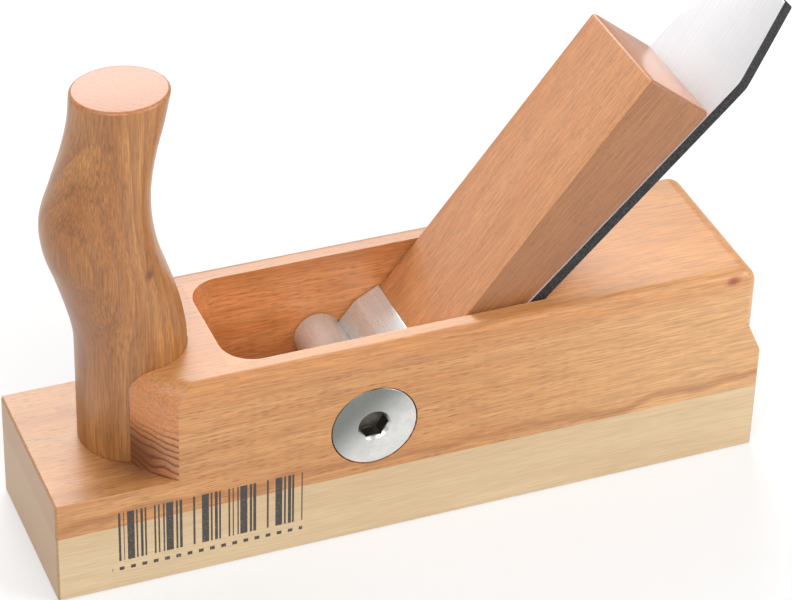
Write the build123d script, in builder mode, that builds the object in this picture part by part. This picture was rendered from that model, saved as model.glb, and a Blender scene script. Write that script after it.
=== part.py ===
"""A wooden smoothing plane: beech stock on a pale sole, front horn, iron, wedge and turning clamp bar.

Millimetres.  The origin is the centre of the sole's running face.  The toe points to -X, the heel
to +X, +Z is up, and the iron lies on a bed that leans towards the heel.
"""
import os
from math import cos, radians, sin, tan

from build123d import *

# ---- stock and sole ---------------------------------------------------------------------------
stock_length = 220.0        # toe to heel along the sole
stock_width = 55.0
stock_height = 66.0         # running face to the top of the block
sole_thickness = 22.5
toe_height = 34.4           # running face to the low platform under the horn
block_front_x = -73.4       # where the block's front meets the side faces
block_front_radius = 34.1   # the block's front is an arc in plan
front_edge_radius = 6.0     # roll along the top of that arc
heel_inset = 3.4            # how far the upper part of the heel is set in
heel_step_low = 35.0        # the slope between the two parts of the heel starts here
heel_step_high = 42.4       # and ends here
top_edge_radius = 3.2       # long edges and the upper corners of the heel
heel_edge_radius = 5.4
fine_chamfer = 0.6

# ---- horn -------------------------------------------------------------------------------------
horn_x = -78.4
horn_radius = 16.0          # round foot of the horn
horn_height = 114.9         # platform to the top of the horn
horn_glue_gap = 0.1
horn_top_rounding = 1.0
horn_straight = 32.0        # the foot stays round and upright this far above the platform
# share of the height above the foot, lean towards the toe, half length, half width
horn_sections = [
    (0.00, 0.0, horn_radius, horn_radius),
    (0.04, 0.1, horn_radius, horn_radius),
    (0.10, 0.8, 16.0, 16.1),
    (0.18, 2.3, 16.1, 16.4),
    (0.29, 5.0, 16.0, 16.8),
    (0.40, 7.9, 16.0, 16.8),
    (0.53, 9.1, 15.5, 15.3),
    (0.65, 7.5, 14.0, 14.2),
    (0.77, 5.0, 13.2, 13.2),
    (0.89, 2.5, 13.4, 12.7),
    (1.00, 1.1, 14.0, 12.6),
]
dowel_radius = 6.0
dowel_in_horn = 25.0
dowel_below_platform = 17.0
dowel_gap = 0.05

# ---- bed, throat and iron ---------------------------------------------------------------------
bed_angle = 45.0
edge_x = -29.35             # cutting edge
edge_z = 0.3
throat_front_x = -55.8
throat_width = 41.6
throat_corner_radius = 10.0
throat_break_z = 39.0       # the upright front wall turns towards the mouth here
mouth_gap = 1.6             # open mouth ahead of the cutting edge
mouth_height = 7.0          # upright stretch of the mouth in the sole
bed_clearance = 0.05
iron_width = 40.4
iron_thickness = 3.5
iron_length = 204.9
iron_shoulder = 25.2        # length of the tapered top
iron_top_width = 20.0
iron_bevel_angle = 25.0
iron_chamfer = 0.25

# ---- clamp bar, plate and screws --------------------------------------------------------------
bar_x = -14.35
bar_z = 38.74
bar_radius = 7.4
bar_end_gap = 0.3
plate_reach = 22.4          # bar axis to the tip of the plate
plate_land = 7.6            # sloped land at the tip
plate_thickness = 3.9
plate_tip_thickness = 0.5
plate_side_gap = 0.5
screw_head_radius = 13.0
screw_head_thickness = 3.0
screw_head_gap = 0.3        # dark ring around the head
screw_seat_gap = 0.15       # head underside to the floor of its recess
screw_edge = 0.35
journal_radius = 6.4
journal_clearance = 0.06
thread_to_plate = 0.1       # the thread stays this far under the plate's seat
thread_depth = 12.0         # into the end of the bar
thread_engagement = 0.35    # the thread's bite, as a radius
thread_end_room = 1.0       # the hole is this much deeper than the thread
socket_flats = 8.0
socket_depth = 5.0
socket_rim_radius = 5.1
socket_rim_depth = 1.0

# ---- wedge ------------------------------------------------------------------------------------
wedge_width = 40.0
wedge_taper = 6.96          # front face against the bed
wedge_start = 22.0          # cutting edge to the nose, along the bed
wedge_end = 167.5           # cutting edge to the back of the top end
wedge_nose = 8.0            # length of the nose bevel
wedge_nose_thickness = 1.6
wedge_chamfer = 1.0
wedge_gap = 0.1             # wedge to iron
clamp_gap = 0.1             # bar and plate to wedge

# ---- frames worked out from the sizes above -----------------------------------------------------
half_length = stock_length / 2
half_width = stock_width / 2
half_throat = throat_width / 2
lean = radians(bed_angle)
up_bed = (cos(lean), 0, sin(lean))
off_bed = (-sin(lean), 0, cos(lean))
iron_plane = Plane(origin=(edge_x, 0, edge_z), x_dir=up_bed, z_dir=off_bed)


def bed_section(distance=0.0):
    """A sketch plane square to the width: x runs up the bed and y stands off the iron's face."""
    return Plane(origin=(edge_x, distance, edge_z), x_dir=up_bed, z_dir=(0, -1, 0))


def clamp_section(distance=0.0):
    """A sketch plane on the bar's axis: x runs up the wedge's face and y stands off it."""
    slope = lean + radians(wedge_taper)
    return Plane(origin=(bar_x, distance, bar_z), x_dir=(cos(slope), 0, sin(slope)), z_dir=(0, -1, 0))


def wedge_face(along):
    """Height of the wedge's front face over the iron: the bar's round stands just clear of it."""
    axis_along = (bar_x - edge_x) * cos(lean) + (bar_z - edge_z) * sin(lean)
    axis_off = (bar_z - edge_z) * cos(lean) - (bar_x - edge_x) * sin(lean)
    taper = radians(wedge_taper)
    return axis_off + ((along - axis_along) * sin(taper) - bar_radius - 2 * clamp_gap) / cos(taper)


# ---- throat: the hollow that the stock and the sole share ---------------------------------------
bed_foot = -iron_thickness - bed_clearance
margin = 5.0                # cutting shapes run this far past the wood
above = stock_height + margin
below = -margin
bed_slope = tan(lean)
bed_x0 = edge_x + bed_foot * off_bed[0]
bed_z0 = edge_z + bed_foot * off_bed[2]
mouth_x = edge_x - mouth_gap

with BuildPart() as throat:
    with BuildSketch(Plane.XZ) as throat_side:
        with BuildLine():
            Polyline(
                (throat_front_x, above),
                (throat_front_x, throat_break_z),
                (mouth_x, mouth_height),
                (mouth_x, below),
                (bed_x0 + (below - bed_z0) / bed_slope, below),
                (bed_x0 + (above - bed_z0) / bed_slope, above),
                close=True,
            )
        make_face()
    extrude(amount=half_throat, both=True)
    with BuildSketch(Plane.XY.offset(throat_break_z - 2 * throat_corner_radius)):
        with Locations((throat_front_x, 0)):
            Rectangle(4 * throat_corner_radius, throat_width + margin)
        with Locations((throat_front_x + 3 * throat_corner_radius, 0)):
            RectangleRounded(6 * throat_corner_radius, throat_width, throat_corner_radius,
                             mode=Mode.SUBTRACT)
    extrude(amount=above, mode=Mode.SUBTRACT)

# ---- sole -------------------------------------------------------------------------------------
with BuildPart() as sole:
    with BuildSketch(Plane.XY):
        Rectangle(stock_length, stock_width)
    extrude(amount=sole_thickness)
    chamfer(sole.faces().sort_by(Axis.Z)[0].edges(), fine_chamfer)
    chamfer(sole.edges().filter_by(Axis.Z), fine_chamfer)
    add(throat.part, mode=Mode.SUBTRACT)
    with Locations((horn_x, 0, sole_thickness)):
        Hole(dowel_radius + dowel_gap, depth=dowel_below_platform - (toe_height - sole_thickness))
sole.part.label = "sole"

# ---- stock ------------------------------------------------------------------------------------
front_centre_x = block_front_x + (block_front_radius**2 - half_width**2) ** 0.5
front_roll = min(front_edge_radius, block_front_radius - half_width)   # limited by the corner it runs out at
wall = half_width - half_throat

with BuildPart() as stock:
    with BuildSketch(Plane.XZ):
        with BuildLine():
            Polyline(
                (half_length, sole_thickness),
                (half_length, heel_step_low),
                (half_length - heel_inset, heel_step_high),
                (half_length - heel_inset, stock_height),
                (front_centre_x - block_front_radius - front_roll, stock_height),
                (front_centre_x - block_front_radius - front_roll, toe_height),
                (-half_length, toe_height),
                (-half_length, sole_thickness),
                close=True,
            )
        make_face()
    extrude(amount=half_width, both=True)
    fillet(stock.edges().filter_by(Axis.Y).group_by(Axis.Z)[-1].sort_by(Axis.X)[-1], heel_edge_radius)
    fillet(stock.faces().sort_by(Axis.Z)[-1].edges().filter_by(Axis.X), top_edge_radius)
    with BuildSketch(Plane.XY.offset(toe_height)):
        with Locations((front_centre_x - stock_width, 0)):
            Rectangle(2 * stock_width, 2 * stock_width)
        with Locations((front_centre_x, 0)):
            Circle(block_front_radius, mode=Mode.SUBTRACT)
    extrude(amount=stock_height, mode=Mode.SUBTRACT)
    with BuildSketch(Plane.YZ.offset(front_centre_x)):
        with Locations((block_front_radius, stock_height)):
            Rectangle(2 * front_roll, 2 * front_roll)
        with Locations((block_front_radius - front_roll, stock_height - front_roll)):
            Circle(front_roll, mode=Mode.SUBTRACT)
    revolve(axis=Axis((front_centre_x, 0, 0), (0, 0, 1)), revolution_arc=180, mode=Mode.SUBTRACT)
    chamfer(stock.edges().filter_by(Axis.Z).group_by(Axis.X)[0], fine_chamfer)
    chamfer(stock.edges().filter_by(Axis.Y).group_by(Axis.X)[0].sort_by(Axis.Z)[-1], fine_chamfer)
    chamfer(stock.edges().filter_by(Axis.Z).group_by(Axis.X)[-1], fine_chamfer)
    add(throat.part, mode=Mode.SUBTRACT)
    with BuildSketch(Plane.XY.offset(toe_height)):
        with Locations((horn_x, 0)):
            Circle(horn_radius + horn_glue_gap)
    extrude(amount=stock_height, mode=Mode.SUBTRACT)
    with Locations((horn_x, 0, toe_height)):
        Hole(dowel_radius + dowel_gap, depth=dowel_below_platform)
    for side in (-1, 1):
        with Locations(Plane(origin=(bar_x, side * half_width, bar_z), z_dir=(0, side, 0))):
            CounterBoreHole(
                radius=journal_radius + journal_clearance,
                counter_bore_radius=screw_head_radius + screw_head_gap,
                counter_bore_depth=screw_head_thickness + screw_seat_gap,
                depth=wall,
            )
stock.part.label = "stock"

# ---- horn and its hidden dowel ------------------------------------------------------------------
horn_top = toe_height + horn_height
straight_top = toe_height + horn_straight

with BuildPart() as horn:
    with BuildSketch(Plane.XY.offset(toe_height)):
        with Locations((horn_x, 0)):
            Circle(horn_radius)
    extrude(amount=horn_straight)
    for share, forward, half_x, half_y in horn_sections:
        with BuildSketch(Plane.XY.offset(straight_top + share * (horn_top - straight_top))):
            with Locations((horn_x - forward, 0)):
                Ellipse(half_x, half_y)
    loft()
    fillet(horn.faces().sort_by(Axis.Z)[-1].edges(), horn_top_rounding)
    with Locations(Plane(origin=(horn_x, 0, toe_height), z_dir=(0, 0, -1))):
        Hole(dowel_radius + dowel_gap, depth=dowel_in_horn)
horn.part.label = "horn"

with BuildPart() as horn_dowel:
    with BuildSketch(Plane.XY.offset(toe_height - dowel_below_platform)):
        with Locations((horn_x, 0)):
            Circle(dowel_radius)
    extrude(amount=dowel_below_platform + dowel_in_horn)
    chamfer(horn_dowel.edges(), 2 * fine_chamfer)
horn_dowel.part.label = "horn_dowel"

# ---- cutting iron -------------------------------------------------------------------------------
bevel_length = iron_thickness / tan(radians(iron_bevel_angle))

with BuildPart() as cutting_iron:
    with BuildSketch(iron_plane):
        with BuildLine():
            Polyline(
                (0, -iron_width / 2),
                (iron_length - iron_shoulder, -iron_width / 2),
                (iron_length, -iron_top_width / 2),
                (iron_length, iron_top_width / 2),
                (iron_length - iron_shoulder, iron_width / 2),
                (0, iron_width / 2),
                close=True,
            )
        make_face()
    extrude(amount=-iron_thickness)
    chamfer(cutting_iron.edges().group_by(Axis.X)[-1], iron_chamfer)
    with BuildSketch(bed_section()):
        with BuildLine():
            Polyline((-margin, 0), (0, 0), (bevel_length, -iron_thickness),
                     (bevel_length, -2 * iron_thickness), (-margin, -2 * iron_thickness), close=True)
        make_face()
    extrude(amount=iron_width, both=True, mode=Mode.SUBTRACT)
cutting_iron.part.label = "cutting_iron"

# ---- wedge --------------------------------------------------------------------------------------
taper_slope = tan(radians(wedge_taper))
wedge_front_end = (wedge_end - wedge_face(wedge_end) * taper_slope) / (1 + taper_slope**2)

with BuildPart() as wedge:
    with BuildSketch(bed_section()):
        with BuildLine():
            Polyline(
                (wedge_start, wedge_gap),
                (wedge_end, wedge_gap),
                (wedge_front_end, wedge_face(wedge_front_end)),
                (wedge_start + wedge_nose, wedge_face(wedge_start + wedge_nose)),
                (wedge_start, wedge_nose_thickness),
                close=True,
            )
        make_face()
    extrude(amount=wedge_width / 2, both=True)
    chamfer(wedge.faces().sort_by(Axis.X)[-1].edges(), wedge_chamfer)
    chamfer(wedge.faces().filter_by(Plane(origin=(0, 0, 0), z_dir=off_bed)).edges()
            .filter_by(lambda e: abs((e % 0.5).Y) < 0.1), wedge_chamfer)
wedge.part.label = "wedge"

# ---- clamp bar with its pressure plate ----------------------------------------------------------
bar_length = throat_width - 2 * bar_end_gap
plate_back = -bar_radius - clamp_gap
plate_front = plate_back + plate_thickness
thread_radius = -plate_front - thread_to_plate

with BuildPart() as pressure_plate:
    with BuildSketch(clamp_section()):
        with BuildLine():
            Polyline(
                (0, plate_back),
                (plate_reach, plate_back),
                (plate_reach, plate_back + plate_tip_thickness),
                (plate_reach - plate_land, plate_front),
                (0, plate_front),
                close=True,
            )
        make_face()
    extrude(amount=half_throat - plate_side_gap, both=True)
pressure_plate.part.label = "pressure_plate"

with BuildPart() as clamp_bar:
    with BuildSketch(clamp_section()):
        Circle(bar_radius)
        with Locations((bar_radius, plate_back)):
            Rectangle(2 * bar_radius, 2 * plate_thickness, mode=Mode.SUBTRACT)
    extrude(amount=bar_length / 2, both=True)
    for side in (-1, 1):
        with Locations(Plane(origin=(bar_x, side * bar_length / 2, bar_z), z_dir=(0, side, 0))):
            Hole(thread_radius - thread_engagement, depth=thread_depth + thread_end_room)
clamp_bar.part.label = "clamp_bar"


def make_clamp_screw(side):
    """Flush disc head with a hex socket, a plain journal through the wall and a thread in the bar."""
    outward = Plane(origin=(bar_x, side * half_width, bar_z), x_dir=(1, 0, 0), z_dir=(0, side, 0))
    journal = half_width - bar_length / 2 - screw_head_thickness
    with BuildPart() as screw:
        with BuildSketch(outward.offset(-screw_head_thickness)):
            Circle(screw_head_radius)
        extrude(amount=screw_head_thickness)
        chamfer(screw.edges(), screw_edge)
        with BuildSketch(outward.offset(-screw_head_thickness - journal)):
            Circle(journal_radius)
        extrude(amount=journal)
        with BuildSketch(outward.offset(-screw_head_thickness - journal - thread_depth)):
            Circle(thread_radius)
        extrude(amount=thread_depth)
        with BuildSketch(outward):
            RegularPolygon(radius=socket_flats / 2, side_count=6, major_radius=False)
        extrude(amount=-socket_depth, mode=Mode.SUBTRACT)
        with Locations(outward):
            Cone(bottom_radius=socket_rim_radius - socket_rim_depth, top_radius=socket_rim_radius,
                 height=socket_rim_depth,
                 align=(Align.CENTER, Align.CENTER, Align.MAX), mode=Mode.SUBTRACT)
    return screw.part


clamp_screw_left = make_clamp_screw(-1)
clamp_screw_left.label = "clamp_screw_left"
clamp_screw_right = make_clamp_screw(1)
clamp_screw_right.label = "clamp_screw_right"

# ---- files --------------------------------------------------------------------------------------
os.makedirs("parts", exist_ok=True)
for piece in (
    stock.part,
    sole.part,
    horn.part,
    horn_dowel.part,
    cutting_iron.part,
    wedge.part,
    clamp_bar.part,
    pressure_plate.part,
    clamp_screw_left,
    clamp_screw_right,
):
    export_step(piece, f"parts/{piece.label}.step")
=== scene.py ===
import bpy
import numpy as np
from mathutils import Matrix, Vector


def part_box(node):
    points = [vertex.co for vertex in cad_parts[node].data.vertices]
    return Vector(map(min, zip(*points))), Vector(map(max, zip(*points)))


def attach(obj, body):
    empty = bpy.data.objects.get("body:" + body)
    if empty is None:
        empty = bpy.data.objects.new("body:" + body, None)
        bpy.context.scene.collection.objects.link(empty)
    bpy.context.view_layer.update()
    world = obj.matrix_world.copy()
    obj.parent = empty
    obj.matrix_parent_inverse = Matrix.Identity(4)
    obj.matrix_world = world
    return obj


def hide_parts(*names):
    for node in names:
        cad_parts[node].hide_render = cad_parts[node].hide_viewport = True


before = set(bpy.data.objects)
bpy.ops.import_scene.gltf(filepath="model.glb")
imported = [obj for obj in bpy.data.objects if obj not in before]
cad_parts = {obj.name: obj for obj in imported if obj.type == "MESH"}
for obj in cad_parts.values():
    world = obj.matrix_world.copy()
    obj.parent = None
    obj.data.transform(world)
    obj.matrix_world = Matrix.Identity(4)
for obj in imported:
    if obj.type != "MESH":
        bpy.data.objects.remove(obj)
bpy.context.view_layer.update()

# ---- The camera --------------------------------------------------------------------------------
# A long lens looks down on the plane from its toe and its left side, turned a little about its own
# axis, as a catalogue picture of a small tool is taken.
camera_azimuth = np.radians(-22.606)
camera_elevation = np.radians(35.236)
camera_roll = np.radians(1.856)
camera_distance = 0.93905
camera_lens = 146.44
camera_target = Vector((0.00247, 0.0, 0.06073))

back = Vector((
    np.sin(camera_azimuth) * np.cos(camera_elevation),
    -np.cos(camera_azimuth) * np.cos(camera_elevation),
    np.sin(camera_elevation),
))
level = Vector((0, 0, 1)).cross(back).normalized()
upright = back.cross(level)
camera_x = level * np.cos(camera_roll) + upright * np.sin(camera_roll)
camera_y = upright * np.cos(camera_roll) - level * np.sin(camera_roll)
camera_data = bpy.data.cameras.new("camera")
camera_data.lens = camera_lens
camera_data.sensor_width = 36.0
camera_data.clip_start = 0.05
camera_data.clip_end = 20.0
camera = bpy.data.objects.new("camera", camera_data)
camera.matrix_world = Matrix.Translation(camera_target + back * camera_distance) @ Matrix(
    (camera_x, camera_y, back)).transposed().to_4x4()
bpy.context.scene.collection.objects.link(camera)
bpy.context.scene.camera = camera

# ---- The sole ----------------------------------------------------------------------------------
# A 22.5 mm board of pale hornbeam, planed, glued under the stock and rubbed with oil.  Its grain
# runs from toe to heel.  The shape is the CAD's, and the timber is worked out here.


def put(tree, kind, inputs=None, **settings):
    """Adds a shader node, sets its properties, and sets or links its inputs by name or number."""
    node = tree.nodes.new(kind)
    for key, value in settings.items():
        setattr(node, key, value)
    for key, value in (inputs or {}).items():
        if isinstance(value, bpy.types.NodeSocket):
            tree.links.new(value, node.inputs[key])
        else:
            node.inputs[key].default_value = value
    return node


def maths(tree, operation, *values, clamp=False):
    """One Math node on up to three numbers or sockets; gives its result socket."""
    return put(tree, "ShaderNodeMath", dict(enumerate(values)), operation=operation,
               use_clamp=clamp).outputs[0]


def spread(tree, value, low, high, to_low=0.0, to_high=1.0):
    """Maps low..high smoothly to to_low..to_high and stops at the ends."""
    node = put(tree, "ShaderNodeMapRange", {0: value, 1: low, 2: high, 3: to_low, 4: to_high},
               interpolation_type="SMOOTHSTEP")
    return node.outputs[0]


def stretch(tree, vector, scale, shift=(0, 0, 0)):
    """The vector times a scale for each axis, plus a shift."""
    return put(tree, "ShaderNodeVectorMath", {0: vector, 1: scale, 2: shift},
               operation="MULTIPLY_ADD").outputs[0]


def noise(tree, vector, scale, detail=2.0, roughness=0.5):
    """Soft fractal noise, 0 to 1 about a half."""
    return put(tree, "ShaderNodeTexNoise", {"Vector": vector, "Scale": scale, "Detail": detail,
                                            "Roughness": roughness}).outputs[0]


def blend_colour(tree, share, first, second, how="MIX"):
    """Colour mix: share 0 keeps the first colour; how is a blend type such as MIX or MULTIPLY."""
    node = put(tree, "ShaderNodeMix", {0: share, 6: first, 7: second}, data_type="RGBA",
               blend_type=how)
    return node.outputs[2]


def new_group(name, inputs, outputs):
    """An empty shader group with sockets (name, kind, value); gives its tree, inputs and output."""
    tree = bpy.data.node_groups.new(name, "ShaderNodeTree")
    for label, kind, value in inputs:
        socket = tree.interface.new_socket(label, in_out="INPUT", socket_type="NodeSocket" + kind)
        if value is not None:
            socket.default_value = value
    for label, kind in outputs:
        tree.interface.new_socket(label, in_out="OUTPUT", socket_type="NodeSocket" + kind)
    source = tree.nodes.new("NodeGroupInput")
    return tree, source.outputs, tree.nodes.new("NodeGroupOutput")


line_ripple = 0.0060


def timber_group():
    """Timber figure for grain along X.  Rings are shells about the X axis, bent by slow noise.
    Rays are short spindles scattered by stretched cells, and fibre is noise drawn out along the
    grain.  Lines are the narrow dark edges of the rings, for the faces cut across the grain."""
    tree, given, result = new_group(
        "timber_figure",
        [("Vector", "Vector", None), ("Ring Width", "Float", 0.004), ("Ring Bend", "Float", 0.006),
         ("Ray Length", "Float", 0.003), ("Ray Height", "Float", 0.0005),
         ("Ray Share", "Float", 0.5), ("Line Width", "Float", 0.0016)],
        [("Bands", "Float"), ("Rings", "Float"), ("Rays", "Float"), ("Pale Rays", "Float"),
         ("Fibre", "Float"), ("Height", "Float"), ("Lines", "Float")])
    place = given["Vector"]
    slow = put(tree, "ShaderNodeTexNoise", {"Vector": stretch(tree, place, (0.16, 1, 1)),
                                            "Scale": 28.0, "Detail": 3.0}).outputs["Color"]
    bent = put(tree, "ShaderNodeVectorMath", {0: slow, 1: (0.5, 0.5, 0.5)},
               operation="SUBTRACT").outputs[0]
    bent = put(tree, "ShaderNodeVectorMath", {0: bent, 3: given["Ring Bend"]},
               operation="SCALE").outputs[0]
    moved = put(tree, "ShaderNodeVectorMath", {0: place, 1: bent}, operation="ADD").outputs[0]
    flat = stretch(tree, moved, (0, 1, 1))
    away = put(tree, "ShaderNodeVectorMath", {0: flat}, operation="LENGTH").outputs["Value"]
    year = maths(tree, "FRACT", maths(tree, "DIVIDE", away, given["Ring Width"]))
    rise = spread(tree, year, 0.15, 0.92)
    fall = spread(tree, year, 0.94, 1.0, 1.0, 0.0)
    rings = maths(tree, "MULTIPLY", rise, fall)
    bands = noise(tree, stretch(tree, moved, (0.10, 1, 1)), 75.0, 2.0)
    ripple = maths(tree, "MULTIPLY", noise(tree, place, 95.0, 1.5), line_ripple)
    straight = put(tree, "ShaderNodeVectorMath", {0: stretch(tree, place, (0, 1, 1))},
                   operation="LENGTH").outputs["Value"]
    step = maths(tree, "FRACT", maths(tree, "DIVIDE", maths(tree, "ADD", straight, ripple),
                                      given["Line Width"]))
    lines = maths(tree, "MULTIPLY", spread(tree, step, 0.42, 0.80),
                  spread(tree, step, 0.88, 1.0, 1.0, 0.0))
    cells_size = put(tree, "ShaderNodeCombineXYZ", {
        0: maths(tree, "DIVIDE", 1.0, given["Ray Length"]),
        1: maths(tree, "DIVIDE", 1.0, given["Ray Height"]),
        2: maths(tree, "DIVIDE", 1.0, given["Ray Height"])}).outputs[0]
    cells = put(tree, "ShaderNodeVectorMath", {0: moved, 1: cells_size},
                operation="MULTIPLY").outputs[0]
    spindle = put(tree, "ShaderNodeTexVoronoi", {"Vector": cells, "Scale": 1.0,
                                                 "Randomness": 1.0})
    chance = put(tree, "ShaderNodeSeparateColor", {0: spindle.outputs["Color"]})
    shape = spread(tree, spindle.outputs["Distance"], 0.18, 0.55, 1.0, 0.0)
    chosen = maths(tree, "LESS_THAN", chance.outputs[0], given["Ray Share"])
    strength = spread(tree, chance.outputs[1], 0.0, 1.0, 0.35, 1.0)
    rays = maths(tree, "MULTIPLY", maths(tree, "MULTIPLY", shape, chosen), strength)
    pale = maths(tree, "MULTIPLY", shape, maths(tree, "GREATER_THAN", chance.outputs[0], 0.78))
    fibre = noise(tree, stretch(tree, moved, (0.035, 1, 1)), 2400.0, 3.0, 0.6)
    height = maths(tree, "MULTIPLY_ADD", rays, -0.6, fibre)
    for label, socket in (("Bands", bands), ("Rings", rings), ("Rays", rays), ("Pale Rays", pale),
                          ("Fibre", fibre), ("Height", height), ("Lines", lines)):
        tree.links.new(socket, result.inputs[label])
    return tree


def stain_and_painted_light_group():
    """A soft ellipsoid mark, 1 at its place and 0 outside its size.  Its edge sways with slow
    noise, so a mark that is long in two directions is a wavy strip along the grain.  The marks
    serve for real stains and also for painted light and shade."""
    tree, given, result = new_group("stain", [("Vector", "Vector", None), ("Place", "Vector", None),
                                              ("Size", "Vector", None), ("Sway", "Float", 0.0)],
                                    [("Mark", "Float")])
    slow = put(tree, "ShaderNodeTexNoise", {"Vector": given["Vector"], "Scale": 34.0,
                                            "Detail": 2.0}).outputs["Color"]
    swung = put(tree, "ShaderNodeVectorMath", {0: slow, 1: (0.5, 0.5, 0.5)},
                operation="SUBTRACT").outputs[0]
    swung = put(tree, "ShaderNodeVectorMath", {0: swung, 3: given["Sway"]},
                operation="SCALE").outputs[0]
    offset = put(tree, "ShaderNodeVectorMath", {0: given["Vector"], 1: given["Place"]},
                 operation="SUBTRACT").outputs[0]
    offset = put(tree, "ShaderNodeVectorMath", {0: offset, 1: swung}, operation="ADD").outputs[0]
    share = put(tree, "ShaderNodeVectorMath", {0: offset, 1: given["Size"]},
                operation="DIVIDE").outputs[0]
    away = put(tree, "ShaderNodeVectorMath", {0: share}, operation="LENGTH").outputs["Value"]
    tree.links.new(spread(tree, away, 0.15, 1.0, 1.0, 0.0), result.inputs["Mark"])
    return tree


patch_toe, patch_heel = -0.0938, -0.0362
bars_low, bars_high = 0.0100, 0.0275
dashes_low, dashes_high = 0.0066, 0.0078
bar_waves = (0.0037, 0.00131, 0.0113)
dash_wave = 0.0034
left_face = -0.0274
ink_colour = (0.030, 0.024, 0.018, 1)


def ink_group():
    """A patch of plain upright bars over a row of dashes, printed on the left side face.  The
    bars' widths come from three sine waves across the patch, so they spell nothing.  Gives 1 on
    ink, thinned a little where it is worn."""
    tree, given, result = new_group("printed_bars", [("Vector", "Vector", None)],
                                    [("Ink", "Float")])
    part = put(tree, "ShaderNodeSeparateXYZ", {0: given["Vector"]})
    x, y, z = part.outputs

    def between(value, low, high):
        """1 between two limits and 0 outside them."""
        return maths(tree, "MULTIPLY", maths(tree, "GREATER_THAN", value, low),
                     maths(tree, "LESS_THAN", value, high))

    def wave(length):
        """A sine wave along X."""
        return maths(tree, "SINE", maths(tree, "MULTIPLY", x, 2 * np.pi / length))

    long_wave, short_wave, group_wave = (wave(length) for length in bar_waves)
    sum_of_waves = maths(tree, "ADD", maths(tree, "ADD", long_wave, short_wave), group_wave)
    bars = maths(tree, "MULTIPLY", spread(tree, sum_of_waves, 0.10, 0.28),
                 between(z, bars_low, bars_high))
    dashes = maths(tree, "MULTIPLY", spread(tree, wave(dash_wave), 0.1, 0.3),
                   between(z, dashes_low, dashes_high))
    wide = between(x, patch_toe, patch_heel)
    side = maths(tree, "LESS_THAN", y, left_face)
    marks = maths(tree, "MULTIPLY", maths(tree, "ADD", bars, dashes, clamp=True),
                  maths(tree, "MULTIPLY", wide, side))
    worn = spread(tree, noise(tree, given["Vector"], 2600.0, 2.0), 0.30, 0.42, 0.72, 1.0)
    tree.links.new(maths(tree, "MULTIPLY", marks, worn), result.inputs["Ink"])
    return tree


timber_figure = timber_group()
stain_and_painted_light_mark = stain_and_painted_light_group()
printed_bars = ink_group()
throat_toe_wall, throat_half_width = -0.0563, 0.0210
oil_coat, oil_coat_roughness = 0.5, 0.30
grain_relief, grain_depth = 0.12, 0.00025


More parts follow.
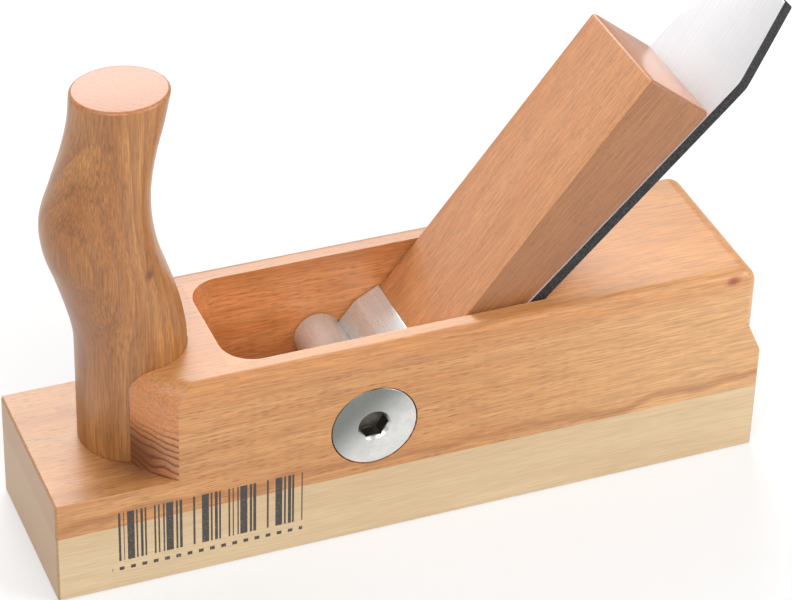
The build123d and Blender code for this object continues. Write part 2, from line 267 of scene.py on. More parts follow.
def timber(name, light, dark, ring, ray, end_light, end_dark, pith, turn=(0, 0, 0), grain=(1, 0, 0),
           ring_width=0.004, ring_bend=0.006, ray_length=0.003, ray_height=0.0005, ray_share=0.5,
           ring_share=0.35, ray_depth=0.5, fibre_share=0.25, line_width=0.0016, line_share=0.8,
           side_tint=(1, 1, 1, 1), stains_and_painted_light=(), throat_painted_light=None, line_top=None, roughness=0.50,
           printed=False):
    """A planed and oiled timber.  The figure is turned so that its grain runs along `grain`, with
    the pith of the tree on the line through `pith`.  Faces cut across the grain show the end-grain
    colours, and their lines fade out above `line_top`.  `side_tint` multiplies the faces across
    the width, and the throat's painted light multiplies the walls of the throat brighter.  Each
    mark is a place, a size, a sway, a colour and a strength; the marks are real stains and also
    painted light and shade."""
    material = bpy.data.materials.new(name)
    material.use_nodes = True
    tree = material.node_tree
    shader = tree.nodes["Principled BSDF"]
    seat = put(tree, "ShaderNodeTexCoord")
    laid = put(tree, "ShaderNodeMapping", {"Vector": seat.outputs["Object"],
                                           "Location": pith, "Rotation": turn},
               vector_type="TEXTURE").outputs[0]
    figure = put(tree, "ShaderNodeGroup", {
        "Vector": laid, "Ring Width": ring_width, "Ring Bend": ring_bend, "Ray Length": ray_length,
        "Ray Height": ray_height, "Ray Share": ray_share, "Line Width": line_width},
        node_tree=timber_figure)
    bands, rings, rays, pale, fibre, height, lines = figure.outputs
    body = blend_colour(tree, spread(tree, bands, 0.33, 0.67), light, dark)
    body = blend_colour(tree, maths(tree, "MULTIPLY", rings, ring_share), body, ring)
    body = blend_colour(tree, maths(tree, "MULTIPLY", pale, 0.35), body, light)
    body = blend_colour(tree, maths(tree, "MULTIPLY", rays, ray_depth), body, ray)
    across = put(tree, "ShaderNodeVectorMath", {0: seat.outputs["Normal"], 1: grain},
                 operation="DOT_PRODUCT").outputs["Value"]
    end_cut = spread(tree, maths(tree, "ABSOLUTE", across), 0.38, 0.56)
    shown = maths(tree, "MULTIPLY", lines, line_share)
    if line_top:
        above = put(tree, "ShaderNodeSeparateXYZ", {0: seat.outputs["Object"]}).outputs[2]
        shown = maths(tree, "MULTIPLY", shown,
                      spread(tree, above, line_top - 0.004, line_top + 0.003, 1.0, 0.12))
    end_face = blend_colour(tree, shown, end_light, end_dark)
    body = blend_colour(tree, end_cut, body, end_face)
    turned = put(tree, "ShaderNodeVectorMath", {0: seat.outputs["Normal"], 1: (0, 1, 0)},
                 operation="DOT_PRODUCT").outputs["Value"]
    sideways = spread(tree, maths(tree, "ABSOLUTE", turned), 0.55, 0.85)
    tinted = blend_colour(tree, 1.0, body, side_tint, "MULTIPLY")
    body = blend_colour(tree, sideways, body, tinted)
    # Painted light: everything over the throat's width behind its toe wall is multiplied brighter,
    # for the light that reaches into the throat.
    if throat_painted_light:
        x, y, _ = put(tree, "ShaderNodeSeparateXYZ", {0: seat.outputs["Object"]}).outputs
        inside = maths(tree, "MULTIPLY", maths(tree, "GREATER_THAN", x, throat_toe_wall),
                       maths(tree, "LESS_THAN", maths(tree, "ABSOLUTE", y), throat_half_width))
        tinted = blend_colour(tree, 1.0, body, throat_painted_light, "MULTIPLY")
        body = blend_colour(tree, inside, body, tinted)
    # The marks: real stains, and also painted light and shade.
    for place, size, sway, colour, strength in stains_and_painted_light:
        mark = put(tree, "ShaderNodeGroup", {"Vector": seat.outputs["Object"], "Place": place,
                                             "Size": size, "Sway": sway},
                   node_tree=stain_and_painted_light_mark).outputs["Mark"]
        body = blend_colour(tree, maths(tree, "MULTIPLY", mark, strength), body, colour)
    streak = spread(tree, fibre, 0.30, 0.70, 1.0 - fibre_share, 1.0 + fibre_share)
    grey = put(tree, "ShaderNodeCombineColor", {0: streak, 1: streak, 2: streak}).outputs[0]
    body = blend_colour(tree, 1.0, body, grey, "MULTIPLY")
    if printed:
        ink = put(tree, "ShaderNodeGroup", {"Vector": seat.outputs["Object"]},
                  node_tree=printed_bars).outputs["Ink"]
        body = blend_colour(tree, ink, body, ink_colour)
    tree.links.new(body, shader.inputs["Base Color"])
    tree.links.new(spread(tree, fibre, 0.3, 0.7, roughness - 0.06, roughness + 0.10),
                   shader.inputs["Roughness"])
    relief = put(tree, "ShaderNodeBump", {"Strength": grain_relief, "Distance": grain_depth,
                                          "Height": height})
    tree.links.new(relief.outputs[0], shader.inputs["Normal"])
    shader.inputs["Coat Weight"].default_value = oil_coat
    shader.inputs["Coat Roughness"].default_value = oil_coat_roughness
    return material


def dress(piece, material):
    """Gives a piece one material."""
    piece.data.materials.clear()
    piece.data.materials.append(material)


hornbeam = timber(
    "planed_hornbeam", light=(0.62, 0.465, 0.275, 1), dark=(0.56, 0.40, 0.225, 1),
    ring=(0.54, 0.36, 0.19, 1), ray=(0.47, 0.32, 0.17, 1), end_light=(0.435, 0.255, 0.105, 1),
    end_dark=(0.35, 0.19, 0.075, 1), pith=(0.0, 0.02, -0.09), ring_width=0.0034,
    ring_bend=0.010, ray_length=0.006, ray_height=0.0004, ray_share=0.35, ring_share=0.25,
    ray_depth=0.22, fibre_share=0.08, line_share=0.4, printed=True)
dress(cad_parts["sole"], hornbeam)

# ---- The stock ---------------------------------------------------------------------------------
# One block of steamed red beech with the horn platform, the throat and the bed cut in it.  The
# short dark ray flecks of beech show on its sides, and growth rings on the faces cut across.
beech = timber(
    "steamed_beech", light=(0.535, 0.258, 0.092, 1), dark=(0.490, 0.222, 0.070, 1),
    ring=(0.42, 0.160, 0.040, 1), ray=(0.27, 0.085, 0.018, 1), end_light=(0.56, 0.215, 0.072, 1),
    end_dark=(0.12, 0.035, 0.015, 1), pith=(0.0, -0.05, 0.16), ring_width=0.0075,
    ring_bend=0.012, ray_length=0.0036, ray_height=0.00062, ray_share=0.60, ring_share=0.34,
    ray_depth=0.55, fibre_share=0.20, line_width=0.0023, line_share=0.85, line_top=0.0505,
    # painted light: the throat walls are multiplied brighter
    printed=True, throat_painted_light=(1.38, 1.28, 1.30, 1),
    stains_and_painted_light=[
        # painted light: paler towards the heel, standing in for the stronger light there
        ((0.115, 0, 0.050), (0.110, 9, 9), 0.0, (0.64, 0.37, 0.165, 1), 0.60),
        # a reddish vein just over the sole, and a redder band along the top
        ((0, 0, 0.0268), (9, 9, 0.0024), 0.015, (0.33, 0.120, 0.032, 1), 0.55),
        ((0, 0, 0.0640), (9, 9, 0.0070), 0.008, (0.50, 0.195, 0.058, 1), 0.45),
        # three streaks on the platform under the horn
        ((-0.095, 0.013, 0.0344), (0.034, 0.0040, 0.003), 0.006, (0.40, 0.155, 0.045, 1), 0.55),
        ((-0.092, -0.014, 0.0344), (0.030, 0.0030, 0.003), 0.006, (0.42, 0.165, 0.050, 1), 0.50),
        ((-0.098, -0.023, 0.0344), (0.026, 0.0025, 0.003), 0.005, (0.36, 0.135, 0.040, 1), 0.50),
        # painted shade at the foot of the block's front, where it meets the platform beside the
        # horn, over its darker end grain; and the tan end of the toe
        ((-0.079, -0.016, 0.040), (0.023, 0.0150, 0.016), 0.004, (0.11, 0.028, 0.007, 1), 0.85),
        ((-0.110, 0, 0), (0.0012, 9, 9), 0.0, (0.39, 0.205, 0.075, 1), 0.92),
        # a small red mark near the heel's top edge
        ((0.0985, -0.027, 0.0630), (0.0034, 0.006, 0.0020), 0.002, (0.30, 0.050, 0.015, 1), 0.9),
    ])
dress(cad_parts["stock"], beech)

# ---- The horn and its dowel --------------------------------------------------------------------
# The front grip, shaped from beech with its grain upright, and swelling towards the toe for the
# palm.  Its round foot is glued into the block and pinned by a dowel that stays hidden.
horn_x = -0.0784
horn_foot = float(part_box("horn")[0][2])
horn_head = float(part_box("horn")[1][2])
horn_straight_top = horn_foot + 0.032
horn_foot_ease = 0.0003
horn_rim = 0.0011
bore_radius, bore_depth, bore_ease = 0.00605, 0.025, 0.0005
# share of the height above the straight foot, lean to the toe, half length, half width, in mm
horn_stations = np.array([
    (0.00, 0.0, 16.0, 16.0),
    (0.04, 0.1, 16.0, 16.0),
    (0.10, 0.8, 16.0, 16.1),
    (0.18, 2.3, 16.1, 16.4),
    (0.29, 5.0, 16.0, 16.8),
    (0.40, 7.9, 16.0, 16.8),
    (0.53, 9.1, 15.5, 15.3),
    (0.65, 7.5, 14.0, 14.2),
    (0.77, 5.0, 13.2, 13.2),
    (0.89, 2.5, 13.4, 12.7),
    (1.00, 1.1, 14.0, 12.6),
])


def smooth_through(knots, values, at):
    """Cubic Hermite curve through the knots, with each tangent the slope between its neighbours."""
    slope = np.gradient(values, knots)
    cell = np.clip(np.searchsorted(knots, at) - 1, 0, len(knots) - 2)
    span = knots[cell + 1] - knots[cell]
    t = (at - knots[cell]) / span
    return ((2 * t**3 - 3 * t**2 + 1) * values[cell] + (t**3 - 2 * t**2 + t) * span * slope[cell]
            + (3 * t**2 - 2 * t**3) * values[cell + 1] + (t**3 - t**2) * span * slope[cell + 1])


def skin(name, loops, body, crease=35):
    """Closed mesh over a stack of loops, where loops[i, j] is point j of loop i.  Neighbouring
    loops are joined by quads, and a fan about its middle closes the first loop and the last.
    Edges sharper than `crease` degrees stay crisp.  The piece rides on a body."""
    rows, count = loops.shape[:2]
    points = np.concatenate([loops.reshape(-1, 3), loops[:1].mean(1), loops[-1:].mean(1)])
    here = np.arange(count)
    after = np.roll(here, -1)
    start = (np.arange(rows - 1) * count)[:, None]
    quads = np.stack([start + here, start + after, start + count + after, start + count + here],
                     -1).reshape(-1, 4)
    last = (rows - 1) * count
    first_fan = np.stack([after, here, np.full(count, rows * count)], -1)
    last_fan = np.stack([last + here, last + after, np.full(count, rows * count + 1)], -1)
    mesh = bpy.data.meshes.new(name)
    mesh.from_pydata(points.tolist(), [], quads.tolist() + first_fan.tolist() + last_fan.tolist())
    mesh.validate()
    mesh.shade_smooth()
    mesh.set_sharp_from_angle(angle=np.radians(crease))
    piece = bpy.data.objects.new(name, mesh)
    bpy.context.scene.collection.objects.link(piece)
    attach(piece, body)
    return piece


def horn_loops(rows=150, count=120):
    """Rings from the top of the dowel's bore, down its wall and out over the foot, then ellipses
    stacked up the horn: the lean and both half axes are smooth curves of the height, the lower
    stretch is a plain round foot, and the last rows turn in over a small rim."""
    turn = np.linspace(0, 2 * np.pi, count, endpoint=False)
    quarter = np.linspace(0, np.pi / 2, 7)[1:]
    heights = np.linspace(horn_foot + horn_foot_ease, horn_head - horn_rim, rows)
    heights = np.concatenate([heights, horn_head - horn_rim * (1 - np.sin(quarter))])
    inset = np.concatenate([np.zeros(rows), horn_rim * (1 - np.cos(quarter))])
    share = np.clip((heights - horn_straight_top) / (horn_head - horn_straight_top), 0, 1)
    lean, half_x, half_y = (smooth_through(horn_stations[:, 0], column, share) * 0.001
                            for column in horn_stations[:, 1:].T)
    bore = np.array([(bore_radius - bore_ease, bore_depth), (bore_radius, bore_depth - bore_ease),
                     (bore_radius, 0.0), (float(half_x[0]) - horn_foot_ease, 0.0)])
    lean = np.concatenate([np.zeros(len(bore)), lean])
    half_x = np.concatenate([bore[:, 0], half_x - inset])
    half_y = np.concatenate([bore[:, 0], half_y - inset])
    heights = np.concatenate([horn_foot + bore[:, 1], heights])
    x = horn_x - lean[:, None] + half_x[:, None] * np.cos(turn)
    y = half_y[:, None] * np.sin(turn)
    z = np.repeat(heights[:, None], count, 1)
    return np.stack([x, y, z], -1)


horn = skin("front_horn", horn_loops(), "plane_body")
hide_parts("horn")
horn_timber = timber(
    "horn_beech_upright", light=(0.45, 0.197, 0.054, 1), dark=(0.32, 0.119, 0.028, 1),
    ring=(0.25, 0.095, 0.029, 1), ray=(0.18, 0.062, 0.020, 1), end_light=(0.45, 0.168, 0.055, 1),
    end_dark=(0.37, 0.127, 0.042, 1), pith=(-0.03, 0.05, 0.0), turn=(0, np.pi / 2, 0),
    grain=(0, 0, 1), ring_width=0.0034, ring_bend=0.006, ray_length=0.004, ray_height=0.0004,
    ray_share=0.40, ring_share=0.55, ray_depth=0.45, fibre_share=0.26, line_width=0.0022,
    line_share=0.35, roughness=0.46,
    stains_and_painted_light=[
        # a knot with a thin dark shake over it
        ((-0.0768, -0.0142, 0.097), (0.0026, 0.004, 0.0022), 0.002, (0.14, 0.035, 0.008, 1), 0.9),
        ((-0.0772, -0.0146, 0.104), (0.0009, 0.004, 0.013), 0.002, (0.17, 0.045, 0.010, 1), 0.75),
        # painted shade at the horn's foot and along its toe side
        ((-0.0780, -0.0150, 0.043), (0.022, 0.012, 0.020), 0.004, (0.20, 0.066, 0.012, 1), 0.45),
        ((-0.0960, -0.0040, 0.080), (0.012, 0.016, 0.034), 0.004, (0.22, 0.070, 0.014, 1), 0.42),
    ])
dress(horn, horn_timber)
dress(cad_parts["horn_dowel"], horn_timber)

# ---- The cutting iron --------------------------------------------------------------------------
# A flat bar of tool steel 40 mm wide, with a face ground nearly white and sides left dark from the
# mill.  The top is cut to a taper for the hammer, and the bevel is ground on the bed side.
edge_x, edge_z = -0.02935, 0.0003
bed_up = np.array([np.sqrt(0.5), 0, np.sqrt(0.5)])
bed_off = np.array([-np.sqrt(0.5), 0, np.sqrt(0.5)])
iron_thickness = 0.0035
iron_half_width = 0.0202
iron_length = 0.2049
iron_shoulder = 0.0252
iron_top_half = 0.0100
iron_top_ease = 0.0005
iron_edge_ease = 0.00022
iron_bevel = iron_thickness / np.tan(np.radians(25))


def from_bed(along, across, off):
    """Points given by their distance up the bed, across the plane and off the iron's face."""
    along, across, off = np.broadcast_arrays(along, across, off)
    start = np.array([edge_x, 0, edge_z])
    return (start + along[..., None] * bed_up + across[..., None] * np.array([0, 1, 0])
            + off[..., None] * bed_off)


def eased_box(half_width, low, high, low_ease, high_ease, steps=6):
    """Loops of a rectangle (across, off) for each station along a bar.  Its two high corners and
    its two low ones are quarter-rounds of their own radii."""
    limit = 0.45 * np.minimum(high - low, 2 * half_width)
    quarter = np.linspace(0, np.pi / 2, steps)
    turn = np.concatenate([quarter + k * np.pi / 2 for k in range(4)])
    right = np.repeat([1, -1, -1, 1], steps)
    top = np.repeat([1, 1, 0, 0], steps)
    ease = np.where(top, np.minimum(high_ease, limit)[:, None],
                    np.minimum(low_ease, limit)[:, None])
    across = right * (half_width[:, None] - ease) + ease * np.cos(turn)
    off = np.where(top, high[:, None] - ease, low[:, None] + ease) + ease * np.sin(turn)
    return across, off


def iron_loops():
    """Rounded rectangles along the bed.  Their width narrows in a straight taper at the top, with a
    small ease at the shoulder, and their back rises to the face over the ground bevel."""
    shoulder = iron_length - iron_shoulder
    along = np.concatenate([np.linspace(0.00015, iron_bevel, 10),
                            np.linspace(iron_bevel + 0.0004, shoulder - 0.002, 60),
                            np.linspace(shoulder - 0.0016, shoulder + 0.0016, 9),
                            np.linspace(shoulder + 0.002, iron_length - iron_top_ease, 16),
                            iron_length - iron_top_ease * np.array([0.6, 0.3, 0.1, 0.0])])
    beyond = along - shoulder
    eased = 0.5 * (beyond + np.sqrt(beyond**2 + 0.001**2))
    half = iron_half_width - (iron_half_width - iron_top_half) * eased / iron_shoulder
    low = -iron_thickness * np.clip(along / iron_bevel, 0.03, 1)
    past = ((along - iron_length + iron_top_ease) / iron_top_ease).clip(0, 1)
    drop = 0.00035 * (1 - np.sqrt(np.clip(1 - past**2, 0, 1)))
    across, off = eased_box(half - drop, low + drop, -drop, iron_edge_ease, iron_edge_ease)
    return from_bed(along[:, None], across, off)


grinding_centre = (0.06, 0.22, 0.09)


def ground_iron():
    """The iron's steel: bright where a face looks along the bed's normal, dark mill scale on the
    sides and ends, and curved grinding lines from rings about a far centre."""
    material = bpy.data.materials.new("ground_iron")
    material.use_nodes = True
    tree = material.node_tree
    shader = tree.nodes["Principled BSDF"]
    seat = put(tree, "ShaderNodeTexCoord")
    facing = put(tree, "ShaderNodeVectorMath", {0: seat.outputs["Normal"], 1: tuple(bed_off)},
                 operation="DOT_PRODUCT").outputs["Value"]
    ground = spread(tree, maths(tree, "ABSOLUTE", facing), 0.80, 0.97)
    wheel = put(tree, "ShaderNodeVectorMath", {0: seat.outputs["Object"], 1: grinding_centre},
                operation="SUBTRACT").outputs[0]
    arc = put(tree, "ShaderNodeVectorMath", {0: wheel}, operation="LENGTH").outputs["Value"]
    lines = put(tree, "ShaderNodeTexNoise", {"W": maths(tree, "MULTIPLY", arc, 2600.0),
                                             "Scale": 1.0, "Detail": 3.0},
                noise_dimensions="1D").outputs[0]
    clouds = noise(tree, seat.outputs["Object"], 160.0, 3.0)
    specks = noise(tree, seat.outputs["Object"], 2600.0, 2.0)
    bright = blend_colour(tree, spread(tree, lines, 0.35, 0.65), (0.90, 0.89, 0.90, 1),
                          (0.80, 0.79, 0.81, 1))
    bright = blend_colour(tree, spread(tree, clouds, 0.35, 0.7, 0.0, 0.3), bright,
                          (0.80, 0.79, 0.80, 1))
    scale = blend_colour(tree, spread(tree, specks, 0.35, 0.7), (0.020, 0.019, 0.020, 1),
                         (0.065, 0.063, 0.064, 1))
    tree.links.new(blend_colour(tree, ground, scale, bright), shader.inputs["Base Color"])
    tree.links.new(spread(tree, ground, 0, 1, 0.62, 0.34), shader.inputs["Roughness"])
    tree.links.new(spread(tree, ground, 0, 1, 0.25, 0.55), shader.inputs["Metallic"])
    relief = put(tree, "ShaderNodeBump", {"Strength": 0.10, "Distance": 0.0001, "Height": lines})
    tree.links.new(relief.outputs[0], shader.inputs["Normal"])
    shader.inputs["Specular IOR Level"].default_value = 0.2
    return material


iron = skin("ground_cutting_iron", iron_loops(), "iron", crease=25)
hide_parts("cutting_iron")
dress(iron, ground_iron())

# ---- The wedge ---------------------------------------------------------------------------------
# A tapered block of beech that the clamp bar presses on the iron.  Its long edges are eased with a
# plane, and its top end, square to the front face, takes the mallet.
wedge_taper = np.radians(6.96)
wedge_gap = 0.0001
wedge_half_width = 0.0200
wedge_start, wedge_nose, wedge_end = 0.022, 0.008, 0.1675
wedge_nose_thickness = 0.0016
wedge_back_ease, wedge_front_ease, wedge_end_ease = 0.0010, 0.0005, 0.0011
bar_x, bar_z, bar_radius = -0.01435, 0.03874, 0.0074
clamp_gap = 0.0002
axis_along = ((bar_x - edge_x) + (bar_z - edge_z)) * np.sqrt(0.5)
axis_off = ((bar_z - edge_z) - (bar_x - edge_x)) * np.sqrt(0.5)


def wedge_face(along):
    """Height of the wedge's front face over the iron: a line just clear of the bar's round."""
    return axis_off + ((along - axis_along) * np.sin(wedge_taper) - bar_radius
                       - clamp_gap) / np.cos(wedge_taper)


def wedge_loops():
    """Rounded rectangles along the bed, sheared so that the top end is square to the front face.
    The nose starts thin and rises to the full height, and the last rows turn in over the end."""
    nose_end = wedge_start + wedge_nose
    quarter = np.linspace(0, np.pi / 2, 6)[1:]
    along = np.concatenate([np.linspace(wedge_start, nose_end, 10),
                            np.linspace(nose_end + 0.0005, wedge_end - wedge_end_ease, 60),
                            wedge_end - wedge_end_ease * (1 - np.sin(quarter))])
    turn_in = np.clip((along - wedge_end + wedge_end_ease) / wedge_end_ease, 0, 1)
    drop = wedge_end_ease * (1 - np.sqrt(1 - turn_in**2)) * 0.9
    slope = np.tan(wedge_taper)
    lean = slope * np.clip((along - nose_end) / (wedge_end - nose_end), 0, 1)
    front = wedge_face(along) / (1 + lean * slope)
    rise = (wedge_nose_thickness + (wedge_face(nose_end) - wedge_nose_thickness)
            * (along - wedge_start) / wedge_nose)
    high = np.minimum(front, rise) - drop
    low = np.full_like(along, wedge_gap) + drop
    across, off = eased_box(wedge_half_width - drop, low, high, wedge_back_ease, wedge_front_ease)
    return from_bed(along[:, None] - lean[:, None] * off, across, off)


wedge = skin("beech_wedge", wedge_loops(), "wedge_body")
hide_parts("wedge")
wedge_slope = float(np.pi / 4 + wedge_taper / 2)
wedge_timber = timber(
    "wedge_beech_split", light=(0.625, 0.278, 0.113, 1), dark=(0.575, 0.240, 0.090, 1),
    ring=(0.50, 0.22, 0.085, 1), ray=(0.36, 0.155, 0.065, 1), end_light=(0.43, 0.165, 0.064, 1),
    end_dark=(0.37, 0.132, 0.048, 1), pith=(0.02, 0.10, 0.06), turn=(0, -wedge_slope, 0),
    grain=(float(np.cos(wedge_slope)), 0, float(np.sin(wedge_slope))), ring_width=0.0085,
    ring_bend=0.009, ray_length=0.0020, ray_height=0.0005, ray_share=0.50, ring_share=0.30,
    ray_depth=0.48, fibre_share=0.18, line_width=0.0040, line_share=0.3,
    side_tint=(0.52, 0.48, 0.43, 1),
    stains_and_painted_light=[
        # a redder strip along the far edge of the front face
        ((0.046, 0.020, 0.085), (0.20, 0.0045, 0.20), 0.003, (0.52, 0.19, 0.055, 1), 0.55),
    ])
dress(wedge, wedge_timber)

# ---- The clamp bar and its plate ---------------------------------------------------------------
# A turned steel bar across the throat.  A milled plate is let into it and lies on the wedge, so the
# bar turns until the plate is flat on the wedge's face.
throat_half = 0.0208
bar_half = throat_half - 0.0003
plate_half = throat_half - 0.0005
plate_thickness = 0.0039
plate_seat = -bar_radius - 0.0001
plate_front = plate_seat + plate_thickness
plate_reach = 0.0224
plate_land = 0.0076
plate_lip = 0.0005
bar_end_ease, plate_end_ease = 0.0004, 0.00012
clamp_slope = np.pi / 4 + wedge_taper
clamp_up = np.array([np.cos(clamp_slope), 0, np.sin(clamp_slope)])
clamp_off = np.array([-np.sin(clamp_slope), 0, np.cos(clamp_slope)])


def ease_corners(outline, ease, steps=6):
    """The outline with each corner replaced by a quadratic curve between the points that lie `ease`
    before it and after it."""
    before = np.roll(outline, 1, 0) - outline
    after = np.roll(outline, -1, 0) - outline
    start = outline + before / np.linalg.norm(before, axis=1, keepdims=True) * ease[:, None]
    stop = outline + after / np.linalg.norm(after, axis=1, keepdims=True) * ease[:, None]
    t = np.linspace(0, 1, steps)[None, :, None]
    curve = ((1 - t)**2 * start[:, None] + 2 * t * (1 - t) * outline[:, None]
             + t**2 * stop[:, None])
    return curve.reshape(-1, 2)


def across_throat(outline, half, ease):
    """Carries an outline (up the wedge's face, off it) from +Y to -Y.  At both ends its last rows
    move in along the outline's normals over a quarter-round of radius `ease`."""
    along = np.roll(outline, -1, 0) - np.roll(outline, 1, 0)
    inward = np.stack([-along[:, 1], along[:, 0]], 1)
    inward /= np.linalg.norm(inward, axis=1, keepdims=True)
    turn = np.linspace(0, np.pi / 2, 6)
    inset = ease * (1 - np.sin(turn))
    y = half - ease * (1 - np.cos(turn))
    inset = np.concatenate([inset, inset[::-1]])[:, None, None]
    y = np.concatenate([y, -y[::-1]])[:, None, None]
    flat = outline[None] + inward[None] * inset
    return (np.array([bar_x, 0, bar_z]) + flat[..., :1] * clamp_up + flat[..., 1:] * clamp_off
            + y * np.array([0, 1, 0]))


def satin_steel():
    """Satin steel with fine scratches, from noise drawn out across the throat, over slow cloudy
    tarnish.  It is left partly dull, as if under a film of oil."""
    material = bpy.data.materials.new("satin_clamp_steel")
    material.use_nodes = True
    tree = material.node_tree
    shader = tree.nodes["Principled BSDF"]
    seat = put(tree, "ShaderNodeTexCoord").outputs["Object"]
    scratches = noise(tree, stretch(tree, seat, (900, 60, 900)), 1.0, 4.0, 0.65)
    clouds = noise(tree, seat, 90.0, 3.0)
    tone = maths(tree, "MULTIPLY_ADD", scratches, 0.5, maths(tree, "MULTIPLY", clouds, 0.5))
    colour = blend_colour(tree, spread(tree, tone, 0.38, 0.62), (0.82, 0.87, 0.88, 1),
                          (0.70, 0.75, 0.77, 1))
    tree.links.new(colour, shader.inputs["Base Color"])
    tree.links.new(spread(tree, scratches, 0.3, 0.7, 0.25, 0.38), shader.inputs["Roughness"])
    relief = put(tree, "ShaderNodeBump", {"Strength": 0.05, "Distance": 0.0001,
                                          "Height": scratches})
    tree.links.new(relief.outputs[0], shader.inputs["Normal"])
    shader.inputs["Metallic"].default_value = 0.55
    return material


notch = np.arcsin(plate_front / bar_radius)
bar_turn = np.linspace(notch, 1.5 * np.pi, 160)
bar_outline = np.concatenate([
    bar_radius * np.stack([np.cos(bar_turn), np.sin(bar_turn)], 1),
    [(0, plate_front)],
])
plate_outline = ease_corners(
    np.array([
        (0, plate_seat),
        (plate_reach, plate_seat),
        (plate_reach, plate_seat + plate_lip),
        (plate_reach - plate_land, plate_front),
        (0, plate_front),
    ]),
    np.array([0.00005, 0.00015, 0.0002, 0.0006, 0.00005]))
clamp_bar = skin("turned_clamp_bar", across_throat(bar_outline, bar_half, bar_end_ease), "clamp",
                 crease=40)
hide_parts("clamp_bar")
clamp_plate = skin("milled_clamp_plate", across_throat(plate_outline, plate_half, plate_end_ease),
                   "clamp", crease=25)
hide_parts("pressure_plate")
clamp_steel = satin_steel()
dress(clamp_bar, clamp_steel)
dress(clamp_plate, clamp_steel)

# ---- The clamp screws --------------------------------------------------------------------------
# One in each side of the stock.  The zinc-plated head is turned flat, has a hexagon socket, and
# lies flush in its recess, its plain neck turns in the wall and its thread holds the bar's end.
face_y = float(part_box("stock")[1][1])
head_radius, head_thickness, head_edge = 0.013, 0.003, 0.00035
neck_radius = 0.0064
thread_radius = -plate_front - 0.0001
thread_depth, thread_ease = 0.012, 0.0005
socket_half, socket_depth, socket_rim = 0.004, 0.005, 0.0051
drill_middle, drill_depth = 0.0006, 0.0057
neck_end = face_y - bar_half


def screw_loops(side, count=144):
    """Rings about the bar's axis as radius and depth.  They start on the drilled floor of the
    socket, go up its hexagon walls, over the face and the edge, and back along neck and thread."""
    turn = np.linspace(0, 2 * np.pi, count, endpoint=False)
    circle = np.ones(count)
    hexagon = socket_half / np.cos(turn % (np.pi / 3) - np.pi / 6)
    eased = np.linspace(0, np.pi / 2, 6)
    rows = [(drill_middle * circle, drill_depth), (0.0034 * circle, 0.0051),
            (hexagon - 0.0001, socket_depth), (hexagon, socket_depth - 0.0001)]
    rows += [(hexagon, socket_rim - hexagon + 0.00012), (hexagon + 0.00008, socket_rim - hexagon)]
    rows += [((socket_rim - 0.0001) * circle, 0.00006), ((socket_rim + 0.0001) * circle, 0.0)]
    rows += [(radius * circle, 0.0) for radius in np.linspace(0.0054, head_radius - head_edge, 24)]
    rows += [((head_radius - head_edge * (1 - np.sin(a))) * circle, head_edge * (1 - np.cos(a)))
             for a in eased[1:]]
    rows += [(head_radius * circle, head_thickness - 0.0002),
             ((head_radius - 0.0002) * circle, head_thickness),
             (neck_radius * circle, head_thickness), (neck_radius * circle, neck_end - 0.0001),
             (thread_radius * circle, neck_end),
             (thread_radius * circle, neck_end + thread_depth - thread_ease),
             ((thread_radius - thread_ease) * circle, neck_end + thread_depth)]
    radius = np.stack([r for r, _ in rows])
    depth = np.stack([np.broadcast_to(d, (count,)) for _, d in rows])
    return np.stack([bar_x + radius * np.cos(turn), side * (face_y - depth),
                     bar_z + side * radius * np.sin(turn)], -1)


# Direction of the painted reflection on the screw heads, from the bright side to the dark one.
painted_reflection_direction = (-0.62, 0, 0.78)


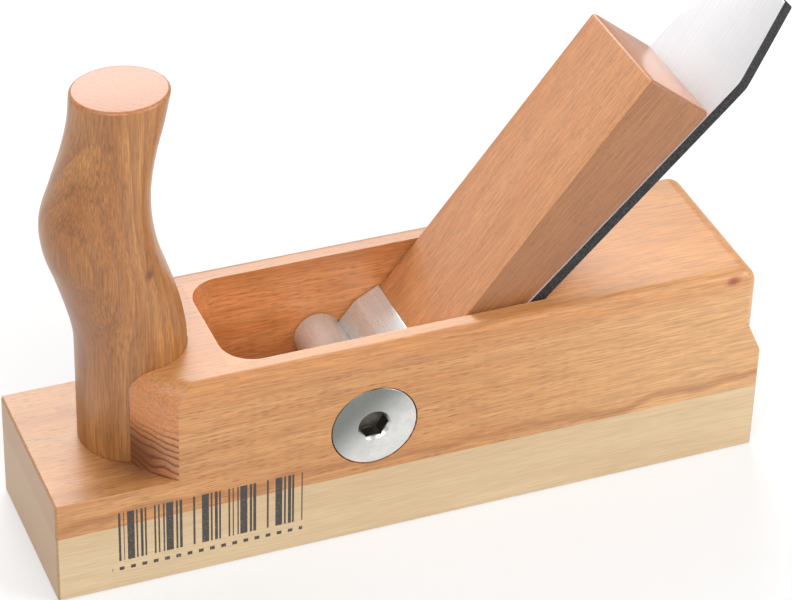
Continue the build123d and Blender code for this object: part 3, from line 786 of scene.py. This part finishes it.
def turned_zinc():
    """Bright zinc with rings from the facing tool, worked out from the distance to the bar's axis,
    and a faint cloud.  A painted reflection grades the head from bright to dark along one fixed
    direction, and painted shade darkens it down in the socket."""
    material = bpy.data.materials.new("turned_zinc")
    material.use_nodes = True
    tree = material.node_tree
    shader = tree.nodes["Principled BSDF"]
    seat = put(tree, "ShaderNodeTexCoord").outputs["Object"]
    offset = put(tree, "ShaderNodeVectorMath", {0: seat, 1: (bar_x, 0, bar_z)},
                 operation="SUBTRACT").outputs[0]
    radial = put(tree, "ShaderNodeVectorMath", {0: stretch(tree, offset, (1, 0, 1))},
                 operation="LENGTH").outputs["Value"]
    rings = put(tree, "ShaderNodeTexNoise", {"W": maths(tree, "MULTIPLY", radial, 9000.0),
                                             "Scale": 1.0, "Detail": 3.0},
                noise_dimensions="1D").outputs[0]
    clouds = noise(tree, seat, 220.0, 3.0)
    specks = noise(tree, seat, 3800.0, 1.0)
    colour = blend_colour(tree, spread(tree, clouds, 0.38, 0.62), (0.85, 0.86, 0.835, 1),
                          (0.75, 0.765, 0.76, 1))
    colour = blend_colour(tree, spread(tree, rings, 0.35, 0.65, 0.0, 0.35), colour,
                          (0.60, 0.61, 0.62, 1))
    # Painted reflection: the head is coloured from bright to dark along this direction, in place of
    # the turned face's reflection.
    slant = put(tree, "ShaderNodeVectorMath", {0: offset, 1: painted_reflection_direction},
                operation="DOT_PRODUCT").outputs["Value"]
    painted_reflection_share = spread(tree, slant, -0.6 * head_radius, 0.7 * head_radius, 0.0, 0.92)
    colour = blend_colour(tree, painted_reflection_share, colour, (0.185, 0.195, 0.180, 1))
    # Painted shade: the socket is coloured dark below the face, where shade falls in the recess.
    depth = put(tree, "ShaderNodeSeparateXYZ", {0: seat}).outputs[1]
    painted_socket_shade = spread(tree, maths(tree, "ABSOLUTE", depth), face_y - 0.0011, face_y - 0.0007, 1.0, 0.0)
    colour = blend_colour(tree, maths(tree, "MULTIPLY", painted_socket_shade, 0.92), colour,
                          (0.13, 0.12, 0.085, 1))
    tree.links.new(colour, shader.inputs["Base Color"])
    tree.links.new(spread(tree, specks, 0.3, 0.7, 0.27, 0.40), shader.inputs["Roughness"])
    relief = put(tree, "ShaderNodeBump", {"Strength": 0.10, "Distance": 0.00008, "Height": rings})
    tree.links.new(relief.outputs[0], shader.inputs["Normal"])
    shader.inputs["Metallic"].default_value = 1.0
    return material


zinc = turned_zinc()
for side, hand in ((-1, "left"), (1, "right")):
    screw = skin(f"{hand}_clamp_screw", screw_loops(side), "clamp", crease=30)
    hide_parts(f"clamp_screw_{hand}")
    dress(screw, zinc)

# ---- The studio --------------------------------------------------------------------------------
# A white table in a light tent.  Three soft lamps stand before the plane, at its middle, its heel
# and its toe, two stand behind it for the sheen of the top faces, and one hangs over it.


def soft_lamp(name, place, target, size, power):
    """A rectangular lamp at `place` that faces `target`, with its width and height in `size`."""
    data = bpy.data.lights.new(name, "AREA")
    data.shape = "RECTANGLE"
    data.size, data.size_y = size
    data.energy = power
    lamp = bpy.data.objects.new(name, data)
    away = Vector(place) - Vector(target)
    facing = away.to_track_quat("Z", "Y").to_matrix().to_4x4()
    lamp.matrix_world = Matrix.Translation(place) @ facing
    bpy.context.scene.collection.objects.link(lamp)


soft_lamp("front_lamp", (-0.28, -0.80, 0.85), (-0.02, 0, 0.05), (0.80, 0.60), 5.2)
soft_lamp("heel_lamp", (0.70, -0.55, 0.45), (0.05, 0, 0.04), (0.50, 0.50), 5.4)
soft_lamp("toe_lamp", (-0.75, -0.40, 0.80), (-0.02, 0, 0.05), (0.80, 0.80), 3.6)
soft_lamp("back_lamp", (0.16, 0.92, 0.74), (0, 0, 0.05), (0.72, 0.60), 9.4)
soft_lamp("far_lamp", (-0.75, 1.00, 0.45), (0, 0, 0.08), (0.90, 0.60), 1.7)
soft_lamp("top_lamp", (0.0, 0.10, 1.15), (0, 0, 0.05), (1.0, 0.8), 1.5)
world = bpy.data.worlds.new("white_surround")
world.use_nodes = True
surround = world.node_tree.nodes["Background"].inputs
surround["Color"].default_value = (1, 1, 1, 1)
surround["Strength"].default_value = 0.28
bpy.context.scene.world = world
bpy.context.scene.view_settings.view_transform = "Standard"

table_half = 6.0
table = bpy.data.meshes.new("table")
table.from_pydata([(-table_half, -table_half, 0), (table_half, -table_half, 0),
                   (table_half, table_half, 0), (-table_half, table_half, 0)], [], [(0, 1, 2, 3)])
floor = bpy.data.objects.new("table", table)
bpy.context.scene.collection.objects.link(floor)
white = bpy.data.materials.new("white_table")
white.use_nodes = True
table_shader = white.node_tree.nodes["Principled BSDF"].inputs
for label, value in (("Base Color", (0.55, 0.55, 0.55, 1)), ("Roughness", 0.9),
                     ("Specular IOR Level", 0.1), ("Emission Color", (1, 1, 1, 1)),
                     ("Emission Strength", 0.34)):
    table_shader[label].default_value = value
table.materials.append(white)
